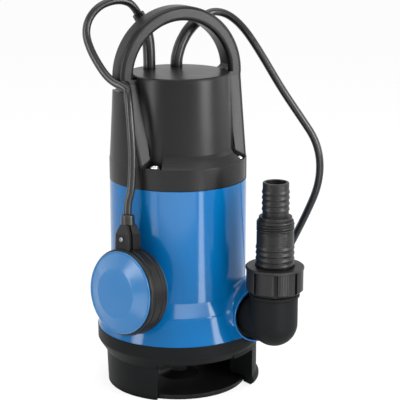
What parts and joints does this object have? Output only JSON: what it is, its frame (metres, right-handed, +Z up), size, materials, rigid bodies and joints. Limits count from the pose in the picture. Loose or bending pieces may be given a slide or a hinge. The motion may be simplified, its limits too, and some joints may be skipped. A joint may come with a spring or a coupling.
{
  "type": "submersible sump pump",
  "caption": "Submersible sump pump with an intake base, side outlet elbow with a stepped hose connector, carrying handle and a float switch on its own cable.",
  "frame": {"origin": "on the floor, on the pump's own axis, at the underside of the intake base", "axes": "+Z up along the pump's axis, X across the handle with the outlet on the +X half, -Y the side that the outlet faces"},
  "size_m": [0.2613, 0.3474, 0.3679],
  "materials": {
    "blue_plastic": "gloss",
    "black_plastic": "satin",
    "float_blue": "satin",
    "cable_rubber": "satin",
    "seal_rubber": "matte",
    "steel": "satin",
    "lamination": "matte",
    "aluminium": "satin",
    "copper": "gloss",
    "white_plastic": "satin",
    "brass": "satin"
  },
  "bodies": {
    "pump": {"intake_base": "black_plastic", "floor_plate": "black_plastic", "base_screws": "steel", "suction_plate": "black_plastic", "pump_casing": "blue_plastic", "cover_seal": "seal_rubber", "outlet_elbow": "black_plastic", "elbow_seal": "seal_rubber", "connector_seal": "seal_rubber", "top_cover": "black_plastic", "cover_screws": "steel", "mains_boot": "cable_rubber", "float_boot": "cable_rubber", "gland_plate": "black_plastic", "gland_screws": "steel", "lower_bearing_outer": "steel", "upper_bearing_outer": "steel", "seal_carrier": "black_plastic", "carrier_screws": "steel", "lower_lip_seal": "seal_rubber", "upper_lip_seal": "seal_rubber", "motor_housing": "aluminium", "stator_core": "lamination", "stator_windings": "copper", "upper_bracket": "aluminium", "bracket_screws": "steel", "wiring_tray": "white_plastic", "capacitor": "white_plastic", "terminal_block": "white_plastic", "float_cable_loop": "cable_rubber", "mains_cable": "cable_rubber", "mains_coil": "cable_rubber", "coil_tie": "black_plastic", "mains_tail": "cable_rubber", "mains_plug": "cable_rubber", "plug_pins": "brass"},
    "rotor": {"shaft": "steel", "impeller": "black_plastic", "impeller_nut": "brass", "rotor_core": "lamination", "rotor_cage": "aluminium", "lower_bearing_inner": "steel", "upper_bearing_inner": "steel"},
    "nut": {"union_nut": "black_plastic"},
    "connector": {"hose_connector": "black_plastic"},
    "float": {"float_cable_drop": "cable_rubber", "float_collar": "cable_rubber", "float_band": "black_plastic", "float_front_cover": "float_blue", "float_back_cover": "float_blue", "float_screw": "steel", "float_ball_track": "white_plastic", "float_microswitch": "white_plastic"},
    "ball": {"float_ball": "steel"}
  },
  "joints": [
    {"name": "rotor_spin", "type": "hinge", "parent": "pump", "child": "rotor", "pos_m": [0, 0, 0.12], "axis": [0, 0, -1], "continuous": true},
    {"name": "union_nut_turn", "type": "hinge", "parent": "pump", "child": "nut", "pos_m": [0.046, -0.1005, 0.12], "axis": [0, 0, 1], "continuous": true},
    {"name": "hose_connector_turn", "type": "hinge", "parent": "pump", "child": "connector", "pos_m": [0.046, -0.1005, 0.12], "axis": [0, 0, 1], "continuous": true},
    {"name": "float_swing", "type": "hinge", "parent": "pump", "child": "float", "pos_m": [-0.0596, -0.0156, 0.2889], "axis": [-0.438, 0.899, 0], "range_deg": [0, 135]},
    {"name": "float_ball_roll", "type": "slide", "parent": "float", "child": "ball", "axis": [0.0546, 0.1212, 0.9911], "range_m": [0, 0.016]}
  ]
}
